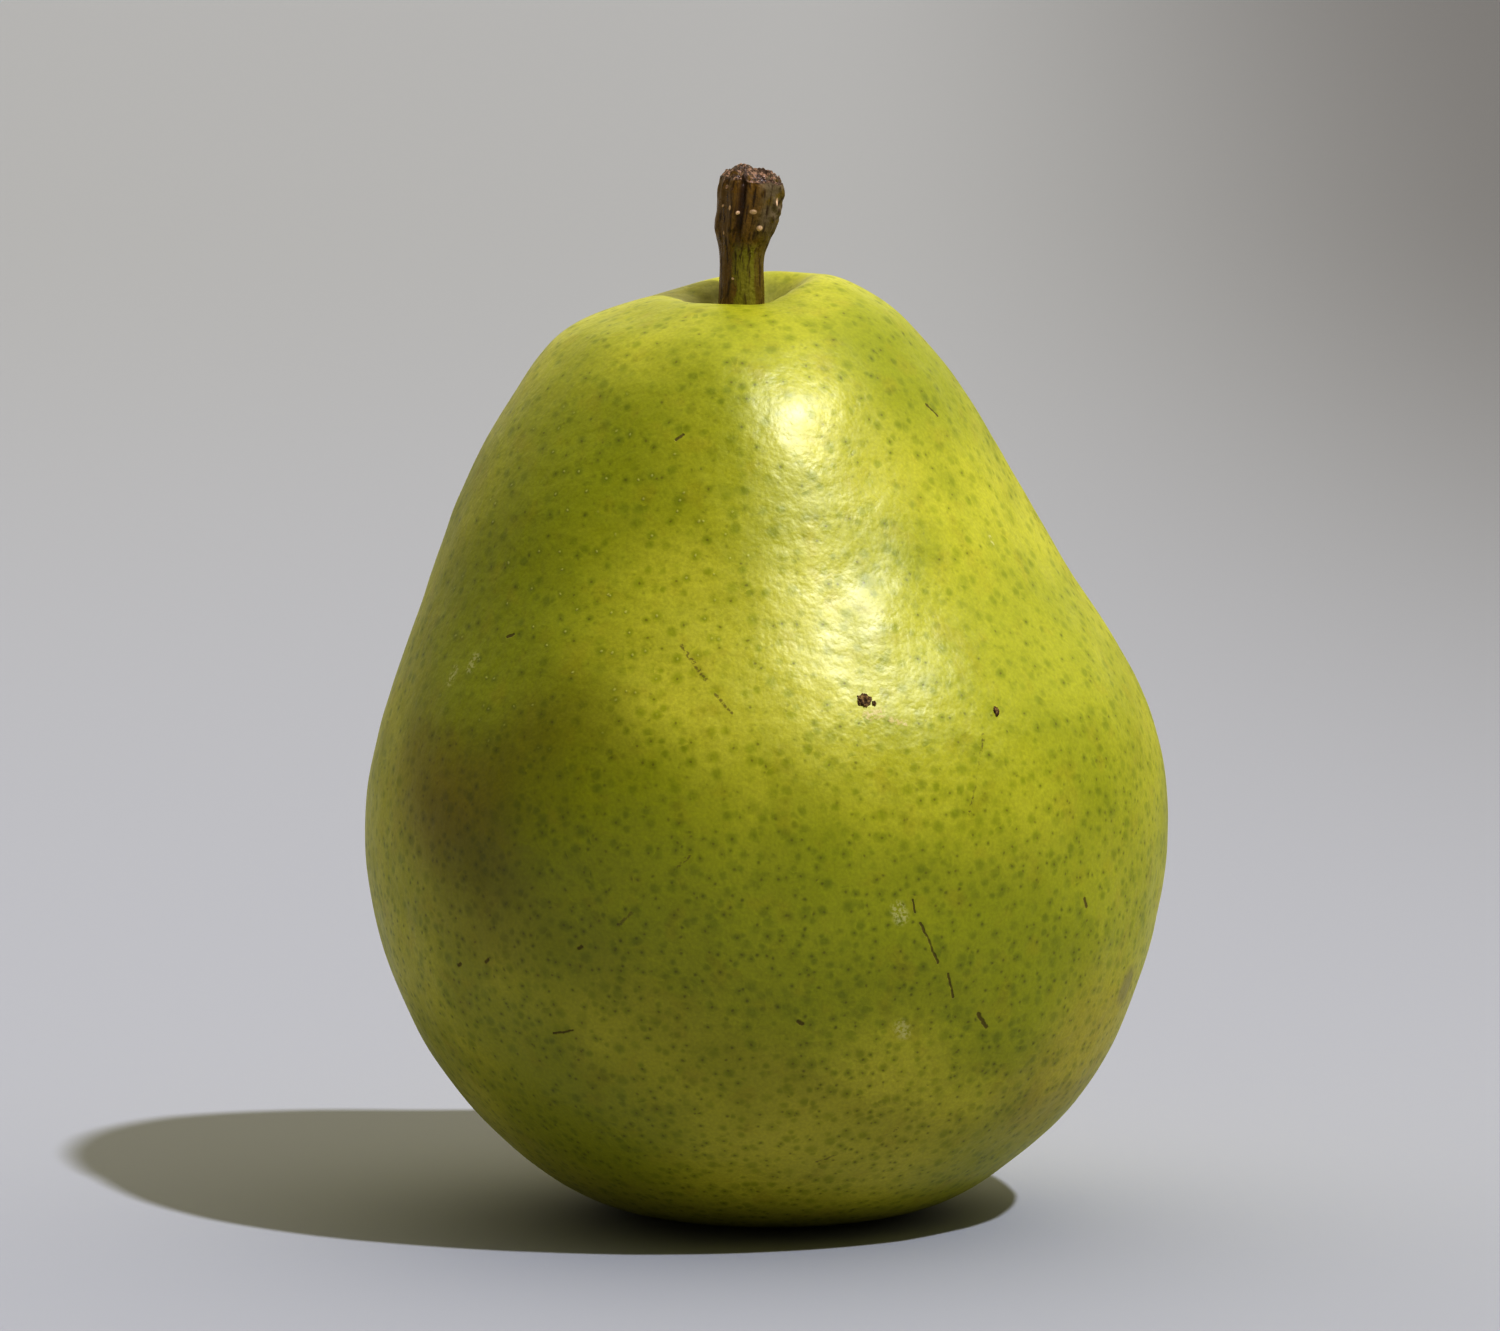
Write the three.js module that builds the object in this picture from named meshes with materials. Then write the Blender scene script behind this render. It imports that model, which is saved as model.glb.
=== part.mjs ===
// A ripe green pear standing upright on its base, in millimetres, +Z up.
// The fruit is one solid with a stalk cavity at the top and a calyx basin underneath.
// The woody stalk, the five dried sepals and the withered stamens are pieces of their own,
// each held 0.3 mm clear of the flesh it grows from.
// Origin: on the surface that the pear stands on, below the middle of its bounding box.
import * as THREE from "three";

// ---- Driving dimensions ----
const BELLY_RADIUS = 40.1;
const BELLY_HEIGHT = 39.0;
const RIM_HEIGHT = 93.0; // the mean height of the rim round the stalk cavity
const DEPTH_SHARE = 0.985; // front-to-back radius as a share of the side-to-side radius
const GAP = 0.3; // between each piece and the flesh that it grows from

const FOOT_INNER = 5.2; // the flat ring that the pear stands on
const FOOT_OUTER = 10.6;

const STALK_TOP = 105.0;
const STALK_NECK_RADIUS = 2.2;
const STALK_FLARE = 0.35; // how much wider the stalk is at its foot than at its neck
const SOCKET_DEPTH = 3.8; // how far the stalk reaches into the flesh
const CAVITY_FLOOR = 89.6;

const EYE_RADIUS = 2.1; // the open tube in the middle of the calyx basin
const EYE_TOP = 8.2;
const BASIN_HEIGHT = 4.6; // of the small flat floor round the eye

const SEPAL_COUNT = 5;
const SEPAL_HALF_WIDTH = 1.25;
const SEPAL_LENGTH = 3.3;
const SEPAL_THICKNESS = 0.45;
const SEPAL_SPLAY = 0.28; // radians outwards from upright

const NECK_LEAN = new THREE.Vector2(-2.75, 0.9); // how far the top sits off the belly's axis
const BASE_DRIFT = 0.4; // how far the foot and the calyx sit to the right of that axis
const OVAL = 0.01; // shares of the radius that the section's lobes rise and fall by
const THREE_LOBES = 0.005;
const FOUR_LOBES = 0.01;
const RIM_TILT = new THREE.Vector2(1.0, 0.4); // how far the rim rises to the right and to the back

// ---- Small helpers ----
const vec2 = (x, y) => new THREE.Vector2(x, y);
const rising = (low, high, x) => THREE.MathUtils.smoothstep(x, low, high);

/** Points of a smooth curve through the given [radius, height] pairs, ends included. */
function through(pairs, steps) {
  return new THREE.SplineCurve(pairs.map(([r, z]) => vec2(r, z))).getPoints(steps);
}

/** Turns a profile round the Z axis. A profile that runs upwards outside faces outwards. */
function turned(profile, segments) {
  return new THREE.LatheGeometry(profile, segments).rotateX(Math.PI / 2);
}

/** Moves each vertex of a geometry with a function that changes a point in place. */
function shaped(geometry, move) {
  const place = geometry.getAttribute("position");
  const point = new THREE.Vector3();
  for (let i = 0; i < place.count; i++) {
    point.fromBufferAttribute(place, i);
    move(point);
    place.setXYZ(i, point.x, point.y, point.z);
  }
  return geometry;
}

function piece(name, geometry, material) {
  const mesh = new THREE.Mesh(geometry, material);
  mesh.name = name;
  return mesh;
}

// ---- Fruit ----

/** Where the fruit's axis is at a height: it drifts a little at the base and leans up the neck. */
function axisAt(z) {
  const lean = rising(50, 77, z);
  const drift = 1 - rising(8, 28, z);
  return vec2(NECK_LEAN.x * lean + BASE_DRIFT * drift, NECK_LEAN.y * lean);
}

/** From the socket's bottom, out over the rim, down the skin and up into the eye. */
function fruitProfile() {
  const socketRadius = STALK_NECK_RADIUS + STALK_FLARE + GAP;
  const socketBottom = CAVITY_FLOOR - SOCKET_DEPTH - GAP;
  const cavityAndShoulder = through(
    [
      [socketRadius, CAVITY_FLOOR],
      [4.4, CAVITY_FLOOR + 1.1],
      [6.0, RIM_HEIGHT - 0.6],
      [8.4, RIM_HEIGHT],
      [12.3, RIM_HEIGHT - 1.3],
      [16.4, RIM_HEIGHT - 3.8],
      [20.7, RIM_HEIGHT - 8.4],
    ],
    18,
  );
  const neckAndBelly = through(
    [
      [20.7, RIM_HEIGHT - 8.4],
      [24.3, 79.3],
      [27.8, 72.8],
      [30.8, 66.2],
      [34.2, 59.6],
      [37.6, 52.8],
      [39.6, 45.6],
      [BELLY_RADIUS, BELLY_HEIGHT],
      [39.3, 30.4],
      [36.6, 21.4],
      [31.6, 12.6],
      [24.3, 5.4],
      [17.5, 1.4],
      [FOOT_OUTER, 0],
    ],
    32,
  );
  const basin = through(
    [
      [FOOT_INNER, 0],
      [4.9, 0.8],
      [4.4, 2.6],
      [3.9, BASIN_HEIGHT],
    ],
    4,
  );
  return [
    vec2(0, socketBottom),
    vec2(socketRadius, socketBottom),
    ...cavityAndShoulder,
    ...neckAndBelly.slice(1),
    ...basin,
    vec2(EYE_RADIUS, BASIN_HEIGHT),
    vec2(EYE_RADIUS, EYE_TOP),
    vec2(0, EYE_TOP),
  ].reverse();
}

/** Gives the turned fruit its chance shape: a lobed section, a lean and a tilted rim. */
function growFruit(point) {
  const { x, y, z } = point;
  const radius = Math.hypot(x, y);
  const turn = Math.atan2(y, x);
  const axis = axisAt(z);

  const belly = rising(8, 30, z) * (1 - rising(70, 90, z));
  const neck = rising(52, 70, z) * (1 - rising(84, 93, z));
  const section =
    1 +
    belly * (OVAL * Math.sin(2 * turn) - THREE_LOBES * Math.sin(3 * turn)) +
    neck * FOUR_LOBES * Math.sin(4 * turn);

  const rim = rising(RIM_HEIGHT - 6, RIM_HEIGHT - 0.5, z) * rising(2.8, 7.5, radius);
  const rise = RIM_TILT.x * Math.cos(turn) + RIM_TILT.y * Math.sin(turn);

  point.set(
    axis.x + x * section,
    axis.y + y * section * DEPTH_SHARE,
    z + rim * rise,
  );
}

// ---- Stalk ----

/** A stout woody stalk that swells into a knob, where it broke away from the spur. */
function stalkProfile() {
  const foot = CAVITY_FLOOR - SOCKET_DEPTH;
  const bark = through(
    [
      [STALK_NECK_RADIUS + STALK_FLARE, foot],
      [STALK_NECK_RADIUS + 0.2, 91.0],
      [STALK_NECK_RADIUS, 95.0],
      [2.45, 96.9],
      [3.05, 98.9],
      [3.3, 101.0],
      [3.35, 102.7],
      [2.8, 104.1],
      [1.5, STALK_TOP - 0.2],
    ],
    20,
  );
  return [vec2(0, foot), ...bark, vec2(0, STALK_TOP)];
}

/** Leans the stalk to the right above its neck and slants the scar on its end. */
function growStalk(point) {
  const root = axisAt(CAVITY_FLOOR);
  const up = rising(95, 103.5, point.z);
  const slant = 0.36 * rising(101, STALK_TOP, point.z);
  point.z -= slant * (point.x + 1.0);
  point.x += root.x + 0.2 + 1.0 * up;
  point.y = 0.94 * point.y + root.y - 0.3 * up;
}

// ---- Calyx ----

/** A dried, pointed sepal that hangs by the basin's wall. It is drawn lying, then stood on its base. */
function sepalGeometry() {
  const outline = new THREE.Shape();
  outline.moveTo(-SEPAL_HALF_WIDTH, 0);
  outline.bezierCurveTo(-SEPAL_HALF_WIDTH, 1.4, -0.6, 2.6, 0, SEPAL_LENGTH);
  outline.bezierCurveTo(0.6, 2.6, SEPAL_HALF_WIDTH, 1.4, SEPAL_HALF_WIDTH, 0);
  outline.closePath();
  const leaf = new THREE.ExtrudeGeometry(outline, {
    depth: SEPAL_THICKNESS,
    bevelEnabled: false,
    curveSegments: 6,
  });
  leaf.rotateX(-Math.PI / 2 - SEPAL_SPLAY);
  leaf.translate(0, -(EYE_RADIUS + GAP + 0.35), BASIN_HEIGHT - GAP - 0.1);
  return leaf;
}

/** The withered stamens stand in the eye as one tuft, wider at the open end. */
function stamenGeometry() {
  const profile = [
    vec2(0, 3.4),
    vec2(1.0, 3.6),
    vec2(1.35, 4.4),
    vec2(0.9, 6.6),
    vec2(0.75, EYE_TOP - GAP),
    vec2(0, EYE_TOP - GAP),
  ];
  return turned(profile, 16);
}

function calyxGroup(material) {
  const calyx = new THREE.Group();
  calyx.position.x = BASE_DRIFT;
  calyx.add(piece("stamens", stamenGeometry(), material));
  for (let i = 0; i < SEPAL_COUNT; i++) {
    const sepal = piece(`sepal_${i + 1}`, sepalGeometry(), material);
    sepal.rotation.z = (i * 2 * Math.PI) / SEPAL_COUNT;
    calyx.add(sepal);
  }
  return calyx;
}

// ---- Materials ----
const skin = new THREE.MeshStandardMaterial({ color: 0xb4b53a, roughness: 0.42, metalness: 0 });
const bark = new THREE.MeshStandardMaterial({ color: 0x4d3a1c, roughness: 0.6, metalness: 0 });
const driedCalyx = new THREE.MeshStandardMaterial({ color: 0x3b2a18, roughness: 0.85, metalness: 0 });

// ---- Assembly ----
const FRUIT_SEGMENTS = 64;
const STALK_SEGMENTS = 20;

const pear = new THREE.Group();
pear.add(
  piece("fruit", shaped(turned(fruitProfile(), FRUIT_SEGMENTS), growFruit), skin),
  piece("stalk", shaped(turned(stalkProfile(), STALK_SEGMENTS), growStalk), bark),
  calyxGroup(driedCalyx),
);

export default pear;
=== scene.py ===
import math
import random

import bmesh
import bpy
from mathutils import Matrix, Vector, noise
from mathutils.bvhtree import BVHTree


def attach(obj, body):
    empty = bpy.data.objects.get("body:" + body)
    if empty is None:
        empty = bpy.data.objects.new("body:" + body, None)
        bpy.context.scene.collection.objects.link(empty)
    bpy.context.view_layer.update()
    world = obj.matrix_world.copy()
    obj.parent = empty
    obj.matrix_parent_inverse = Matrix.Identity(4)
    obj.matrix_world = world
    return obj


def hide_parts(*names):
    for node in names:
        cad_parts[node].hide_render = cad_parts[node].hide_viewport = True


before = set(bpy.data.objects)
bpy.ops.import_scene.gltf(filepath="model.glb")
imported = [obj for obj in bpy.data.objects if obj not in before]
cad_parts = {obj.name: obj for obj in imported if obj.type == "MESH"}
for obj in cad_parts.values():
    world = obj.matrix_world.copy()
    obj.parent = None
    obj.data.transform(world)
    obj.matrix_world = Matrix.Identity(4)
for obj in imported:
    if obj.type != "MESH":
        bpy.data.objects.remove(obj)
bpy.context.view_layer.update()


# ---- Fruit ----
# One swollen, fleshy fruit that grew as a single piece, under a thin waxed skin.
# It is the solid of the frame, rounded off, with the lumps, the folded rim and the
# puckered basin that it grew with. The flesh closes on the stalk at the cavity's floor.

MM = 0.001
CAVITY_FLOOR = 0.0896
SOCKET_RADIUS = 0.0034
NECK_TOP = 0.08  # only the shoulder, the cavity and the stalk are above this height
STALK_FOOT = Vector((-0.00275, 0.0009))  # where the stalk's axis meets the cavity floor
EYE_CENTRE = Vector((0.0004, 0.0))
WELD = 2e-6  # corners this close together are one corner
ROUND_FAN = 20  # a corner with more edges than this is the middle of a turned end


def blend(low, high, x):
    """Runs smoothly from 0 at low to 1 at high."""
    t = min(max((x - low) / (high - low), 0.0), 1.0)
    return t * t * (3 - 2 * t)


def bump(centre, width, x):
    """A soft hill of height 1 over centre."""
    return math.exp(-(((x - centre) / width) ** 2))


def turn_apart(a, b):
    """The angle between two directions, at most half a turn."""
    return abs((a - b + math.pi) % (2 * math.pi) - math.pi)


def join_to_quads(shape):
    """Dissolves the long edge that splits each patch of a turned solid into two triangles."""
    long_edges = []
    for edge in shape.edges:
        if len(edge.link_faces) < 2 or max(len(v.link_edges) for v in edge.verts) > ROUND_FAN:
            continue
        sides = [e for face in edge.link_faces for e in face.edges if e != edge]
        if edge.calc_length() > 1.0005 * max(e.calc_length() for e in sides):
            long_edges.append(edge)
    bmesh.ops.dissolve_edges(shape, edges=long_edges, use_verts=False)


def unroll(shape, name, start):
    """Maps a turned solid like a rolled-out label: across is the turn, up is the way from start."""
    on_axis = 1e-5
    rings, seen = [[start]], {start}
    while rings[-1]:
        ring = {e.other_vert(v) for v in rings[-1] for e in v.link_edges} - seen
        seen |= ring
        rings.append(sorted(ring, key=lambda v: v.index))
    rings.pop()
    along = {}
    way = 0.0
    centre = rings[0][0].co
    reach = 0.0
    for ring in rings:
        middle = sum((v.co for v in ring), Vector()) / len(ring)
        radius = sum((v.co - middle).length for v in ring) / len(ring)
        way += math.hypot(radius - reach, (middle - centre).z)
        centre, reach = middle, radius
        for v in ring:
            along[v] = (way, middle)
    layer = shape.loops.layers.uv.new(name)
    for face in shape.faces:
        arms = [loop.vert.co - along[loop.vert][1] for loop in face.loops]
        turns = [math.atan2(arm.x, -arm.y) for arm in arms]
        if max(turns) - min(turns) > math.pi:
            turns = [t + 2 * math.pi if t < 0 else t for t in turns]
        rounds = [t for t, arm in zip(turns, arms) if arm.length > on_axis]
        for t, arm, loop in zip(turns, arms, face.loops):
            if arm.length <= on_axis:
                t = sum(rounds) / len(rounds)
            loop[layer].uv = (0.5 + t / (2 * math.pi) * 0.96, 0.01 + 0.98 * along[loop.vert][0] / way)


def finished(name, shape, material, levels=0):
    """Makes a smooth-shaded object of a bmesh, with a subdivision that is already applied."""
    mesh = bpy.data.meshes.new(name)
    shape.to_mesh(mesh)
    shape.free()
    piece = bpy.data.objects.new(name, mesh)
    bpy.context.scene.collection.objects.link(piece)
    if levels:
        rounding = piece.modifiers.new("Subdivision", "SUBSURF")
        rounding.levels = rounding.render_levels = levels
        rounded = piece.evaluated_get(bpy.context.evaluated_depsgraph_get())
        piece.data = bpy.data.meshes.new_from_object(rounded)
        piece.modifiers.clear()
        bpy.data.meshes.remove(mesh)
        piece.data.name = name
    piece.data.materials.clear()
    piece.data.materials.append(material)
    piece.data.shade_smooth()
    return piece


def lumps(place):
    """The uneven growth of the flesh, in metres along the normal: broad lumps with finer ones on them."""
    mm = place / MM
    return MM * (
        0.34 * noise.noise(mm / 15)
        + 0.16 * noise.noise(mm / 7 + Vector((4, 0, 0)))
        + 0.05 * noise.noise(mm / 3.2)
    )


# How far each feature of the fruit rises or sinks, in mm.
SHOULDER_SWELL = 0.3
FRONT_RIDGE = 0.65
FRONT_DIP = 0.95
LEFT_DIP = 0.55
BIG_SHOULDER = 0.2
RIM_GROOVE = 0.8
PLEATS = 0.2
BASIN_RIBS = 0.3


def grow_skin(place, normal):
    """Where a point of the smooth solid goes on the grown fruit."""
    x, y, z = place
    from_stalk = place.xy - STALK_FOOT
    radius = from_stalk.length
    turn = math.atan2(from_stalk.y, from_stalk.x)
    top = blend(0.086, 0.091, z)

    # Away from the foot and from the cavity's floor the skin swells and sinks a little.
    free = blend(0.001, 0.009, z) * (1 - top * (1 - blend(0.004, 0.012, radius)))
    swell = SHOULDER_SWELL * bump(0.0855, 0.006, z) * blend(0.012, 0.017, radius)
    # A blunt ridge runs down the front of the neck.
    ridge = bump(0, 0.34, turn_apart(turn, math.radians(-93))) * blend(0.042, 0.056, z) * (1 - top)
    place = place + normal * (lumps(place) * free + MM * (swell + FRONT_RIDGE * ridge))

    if top > 0:
        ring = bump(0.0078, 0.0042, radius)
        # The rim is low and level at the front, low at the back on the left, and highest at the back.
        front = bump(0, 0.62, turn_apart(turn, math.radians(-72)))
        left = bump(0, 0.6, turn_apart(turn, math.radians(148)))
        place.z -= MM * (FRONT_DIP * front + LEFT_DIP * left) * ring * top
        # A groove leaves the stalk between the big shoulder on the right and the back of the rim.
        groove = bump(0, 0.36, turn_apart(turn, math.radians(28))) * bump(0.0052, 0.0026, radius)
        shoulder = bump(0, 0.5, turn_apart(turn, math.radians(-12))) * bump(0.0088, 0.0036, radius)
        place.z += MM * (BIG_SHOULDER * shoulder - RIM_GROOVE * groove) * top
        # Small pleats run down the wall of the cavity to the stalk.
        wall = bump(0.0046, 0.0021, radius) * blend(0.0024, 0.0034, radius)
        pleat = math.sin(7 * turn + 2.2 * noise.noise(Vector((2 * math.cos(turn), 2 * math.sin(turn), 3))))
        place.z += MM * PLEATS * pleat * wall * top

    eye = (Vector((x, y)) - EYE_CENTRE).length
    if z < 0.012 and eye < 0.018:
        # The basin is puckered by five ribs, one behind each sepal, and their folds fade over the foot.
        bearing = math.atan2(y, x - EYE_CENTRE.x)
        rib = math.cos(5 * bearing + math.pi / 2 + 0.5 * noise.noise(Vector((x, y, 0)) / 0.004))
        place.z += MM * BASIN_RIBS * rib * bump(0.0047, 0.0028, eye) * blend(0.0022, 0.0034, eye)
    return place


def close_on_stalk(place):
    """Draws the cavity's floor in to the stalk, so that no gap shows round it."""
    reach = 0.0044
    from_stalk = place.xy - STALK_FOOT
    if place.z > NECK_TOP and from_stalk.length < reach:
        pulled = from_stalk * (0.62 + 0.38 * blend(0.0026, reach, from_stalk.length))
        place.xy = STALK_FOOT + pulled
        place.z += MM * 0.35 * (1 - blend(0.0024, reach, from_stalk.length))
    return place


skin_shape = bmesh.new()
skin_shape.from_mesh(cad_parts["fruit"].data)
bmesh.ops.remove_doubles(skin_shape, verts=skin_shape.verts, dist=WELD)
socket = [
    v
    for v in skin_shape.verts
    if NECK_TOP < v.co.z < CAVITY_FLOOR - 0.2 * MM and (v.co.xy - STALK_FOOT).length < SOCKET_RADIUS
]
bmesh.ops.delete(skin_shape, geom=socket, context="VERTS")
mouth = [e for e in skin_shape.edges if e.is_boundary]
bmesh.ops.poke(skin_shape, faces=bmesh.ops.contextual_create(skin_shape, geom=mouth)["faces"])
join_to_quads(skin_shape)
bmesh.ops.recalc_face_normals(skin_shape, faces=skin_shape.faces)
below = [v for v in skin_shape.verts if v.co.z < 0.02]
eye_top = min(below, key=lambda v: (v.co.xy - EYE_CENTRE).length)
unroll(skin_shape, "OFBake", eye_top)


def linear(code):
    """The colour that a shader needs for an sRGB hex code."""
    parts = [int(code[i : i + 2], 16) / 255 for i in (1, 3, 5)]
    return tuple(p / 12.92 if p <= 0.04045 else ((p + 0.055) / 1.055) ** 2.4 for p in parts) + (1.0,)


def add(tree, kind, *values, named=None, **settings):
    """Adds a shader node. The values go to its inputs in order, or by name: a number, a vector or a colour
    to set, a node or a socket to link, or None to leave one as it is. The settings are the node's own."""
    node = tree.nodes.new("ShaderNode" + kind)
    for name, value in settings.items():
        setattr(node, name, value)
    open_inputs = [socket for socket in node.inputs if socket.enabled]
    by_name = {socket.name: socket for socket in open_inputs}
    pairs = list(zip(open_inputs, values))
    pairs += [(by_name[name], value) for name, value in (named or {}).items()]
    for socket, value in pairs:
        if isinstance(value, bpy.types.Node):
            value = next(output for output in value.outputs if output.enabled)
        if isinstance(value, bpy.types.NodeSocket):
            tree.links.new(value, socket)
        elif value is not None:
            socket.default_value = value
    return node


def new_material(name):
    """A material with its node tree and its shader."""
    material = bpy.data.materials.new(name)
    material.use_nodes = True
    return material, material.node_tree, material.node_tree.nodes["Principled BSDF"]


# The skin is a thin waxed cuticle over green flesh: it gives a satin, yellow-green surface with a soft
# highlight that breaks up on its grain. It is greener in places, partly in its own colour and partly in
# painted shade, and full of lenticels, the pores that it breathes through.
skin_material, skin, skin_shader = new_material("waxed_pear_skin")
fruit = finished("pear_skin", skin_shape, skin_material, levels=2)
grown = [close_on_stalk(grow_skin(v.co.copy(), v.normal.copy())) for v in fruit.data.vertices]
for vertex, place in zip(fruit.data.vertices, grown):
    vertex.co = (place.x, place.y, max(place.z, 0.0))
fruit.data.update()
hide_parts("fruit")
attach(fruit, "root")
skin_tree = BVHTree.FromPolygons(
    [v.co.copy() for v in fruit.data.vertices], [list(p.vertices) for p in fruit.data.polygons]
)


def strike(tree, turn, height, middle=Vector((0, 0))):
    """The point and normal of a surface at a height in mm, and at a turn in degrees from the front to +X."""
    away = Vector((math.sin(math.radians(turn)), -math.cos(math.radians(turn)), 0))
    start = away * 100 * MM + Vector((*middle, height * MM))
    place, normal, _, _ = tree.ray_cast(start, -away)
    return place, normal


object_place = add(skin, "TexCoord").outputs["Object"]
skin_mm = add(skin, "VectorMath", object_place, 1 / MM, operation="SCALE")
outward = add(skin, "NewGeometry").outputs["Normal"]


def drifted(scale, amount):
    """The place in mm, pushed about by a noise with features of a size, for edges that wander."""
    push = add(skin, "TexNoise", named={"Vector": skin_mm, "Scale": 1 / scale, "Detail": 2.0})
    back = add(skin, "VectorMath", skin_mm, (amount,) * 3, operation="SUBTRACT")
    return add(
        skin, "VectorMath", push.outputs["Color"], (2 * amount,) * 3, back, operation="MULTIPLY_ADD"
    )


# Broad colour: ripe yellow-green, mottled with leafy green, with a bronzed cheek and a golden tint low down.
# The patches on the front are partly the skin's own colour and partly painted light and shade: yellow
# painted light on the middle of the front, the neck and low down, and green and olive painted shade down the
# left side, across the middle and on the right. A patch is a turn in degrees, a height and a radius in mm,
# a colour and how strong that is.
RIPE = linear("#babb34")
LEAFY_AND_PAINTED_SHADE = linear("#979e02")
OLIVE_AND_PAINTED_SHADE = linear("#817e02")
BRONZE = linear("#96850a")
GOLDEN = linear("#c0b13c")
PAINTED_LIGHT_YELLOW = linear("#d3cf52")
PATCHES_WITH_PAINTED_SHADING = [
    # painted light: yellow on the middle of the front round the highlight, and on the lit neck
    (-2, 60, 15, PAINTED_LIGHT_YELLOW, 0.45),
    (-14, 54, 8, PAINTED_LIGHT_YELLOW, 0.3),
    (24, 80, 11, PAINTED_LIGHT_YELLOW, 0.35),
    # painted shade down the shaded left side, with the bronzed cheek among it
    (-42, 47, 17, OLIVE_AND_PAINTED_SHADE, 0.9),
    (-57, 46, 9, BRONZE, 0.4),
    (-54, 62, 15, LEAFY_AND_PAINTED_SHADE, 1.0),
    (-46, 77, 13, LEAFY_AND_PAINTED_SHADE, 0.85),
    (-26, 79, 9, LEAFY_AND_PAINTED_SHADE, 0.2),
    # green painted shade across the middle and on the right
    (-22, 40, 14, LEAFY_AND_PAINTED_SHADE, 0.8),
    (4, 32, 15, LEAFY_AND_PAINTED_SHADE, 0.75),
    (36, 30, 15, LEAFY_AND_PAINTED_SHADE, 0.75),
    (62, 34, 15, LEAFY_AND_PAINTED_SHADE, 0.45),
    (56, 56, 15, LEAFY_AND_PAINTED_SHADE, 0.45),
    (-36, 12, 12, LEAFY_AND_PAINTED_SHADE, 0.7),
    # painted light low down on the front
    (14, 11, 15, PAINTED_LIGHT_YELLOW, 0.5),
    (64, 18, 12, GOLDEN, 0.4),
    (-10, 88, 9, LEAFY_AND_PAINTED_SHADE, 0.3),
    # painted shade on the right of the shoulder
    (60, 87, 11, LEAFY_AND_PAINTED_SHADE, 0.8),
    (140, 60, 20, LEAFY_AND_PAINTED_SHADE, 0.7),
    (-130, 36, 20, LEAFY_AND_PAINTED_SHADE, 0.8),
    (-150, 66, 14, OLIVE_AND_PAINTED_SHADE, 0.5),
    (170, 30, 18, GOLDEN, 0.4),
    (110, 44, 12, BRONZE, 0.3),
]
wander = drifted(9, 4)
colour = add(skin, "RGB")
colour.outputs["Color"].default_value = RIPE
MOTTLES = [(15, 0.42, 0.66, 0.55), (4.5, 0.48, 0.72, 0.35)]  # size in mm, edges of the noise, how strong
for size, low, high, amount in MOTTLES:
    mottle = add(skin, "TexNoise", named={"Vector": skin_mm, "Scale": 1 / size, "Detail": 3.0})
    share = add(skin, "MapRange", mottle, low, high, 0, amount, interpolation_type="SMOOTHSTEP")
    colour = add(skin, "Mix", share, colour, LEAFY_AND_PAINTED_SHADE, data_type="RGBA")
for turn, height, radius, tint, amount in PATCHES_WITH_PAINTED_SHADING:
    centre = strike(skin_tree, turn, height)[0] / MM
    distance = add(skin, "VectorMath", wander, centre, operation="DISTANCE")
    rim, core = 1.25 * radius, 0.35 * radius
    share = add(skin, "MapRange", distance, rim, core, 0, amount, interpolation_type="SMOOTHSTEP")
    colour = add(skin, "Mix", share, colour, tint, data_type="RGBA")


# Lenticels: each is a pore with a soft darker-green halo one to two millimetres wide. Some have a corky
# brown pinpoint in the middle and others, on the shaded side, a pale raised one whose pale colour is
# partly a painted glint.
def lenticels(cell, seed, small, large):
    """Scatters pores about a cell apart, in mm, with halos from a small to a large radius.
    Gives the halo and the pinpoint, each 0 to 1, and a number of the pore's own."""
    place = add(skin, "VectorMath", drifted(1.2, 0.22), (seed,) * 3, operation="ADD")
    pores = add(skin, "TexVoronoi", named={"Vector": place, "Scale": 1 / cell, "Randomness": 1.0})
    arm = add(skin, "VectorMath", place, pores.outputs["Position"], operation="SUBTRACT")
    depth = add(skin, "VectorMath", arm, outward, operation="DOT_PRODUCT")
    sunk = add(skin, "VectorMath", outward, depth, operation="SCALE")
    across = add(skin, "VectorMath", arm, sunk, operation="DISTANCE")
    off_skin = add(skin, "Math", depth, operation="ABSOLUTE")
    present = add(skin, "MapRange", off_skin, 0.5 * cell, 0.36 * cell, 0, 1, interpolation_type="SMOOTHSTEP")
    own = add(skin, "SeparateColor", pores.outputs["Color"])
    reach = add(skin, "MapRange", own.outputs[0], 0, 1, small, large)
    core = add(skin, "Math", reach, 0.2, operation="MULTIPLY")
    halo = add(skin, "MapRange", across, reach, core, 0, present, interpolation_type="SMOOTHSTEP")
    strength = add(skin, "MapRange", own.outputs[1], 0, 1, 0.4, 1)
    halo = add(skin, "Math", halo, strength, operation="MULTIPLY")
    pinpoint = add(skin, "MapRange", across, 0.2, 0.04, 0, present, interpolation_type="SMOOTHSTEP")
    return halo, pinpoint, own.outputs[2]


wide_halo, wide_point, wide_own = lenticels(1.85, 3, 0.5, 0.95)
fine_halo, fine_point, fine_own = lenticels(1.5, 40, 0.35, 0.7)
height_mm = add(skin, "SeparateXYZ", skin_mm).outputs["Z"]
low_down = add(skin, "MapRange", height_mm, 56, 34, 0.35, 1, interpolation_type="SMOOTHSTEP")
fine_halo = add(skin, "Math", fine_halo, low_down, operation="MULTIPLY")
halo = add(skin, "Math", wide_halo, fine_halo, operation="MAXIMUM")
HALO = linear("#d7df45")  # multiplies the skin's colour
PINPOINT = linear("#5a4716")
PALE_POINT_AND_GLINT = linear("#cfcf86")
halo_share = add(skin, "Math", halo, 0.95, operation="MULTIPLY", use_clamp=True)
colour = add(skin, "Mix", halo_share, colour, HALO, data_type="RGBA", blend_type="MULTIPLY")
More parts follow.
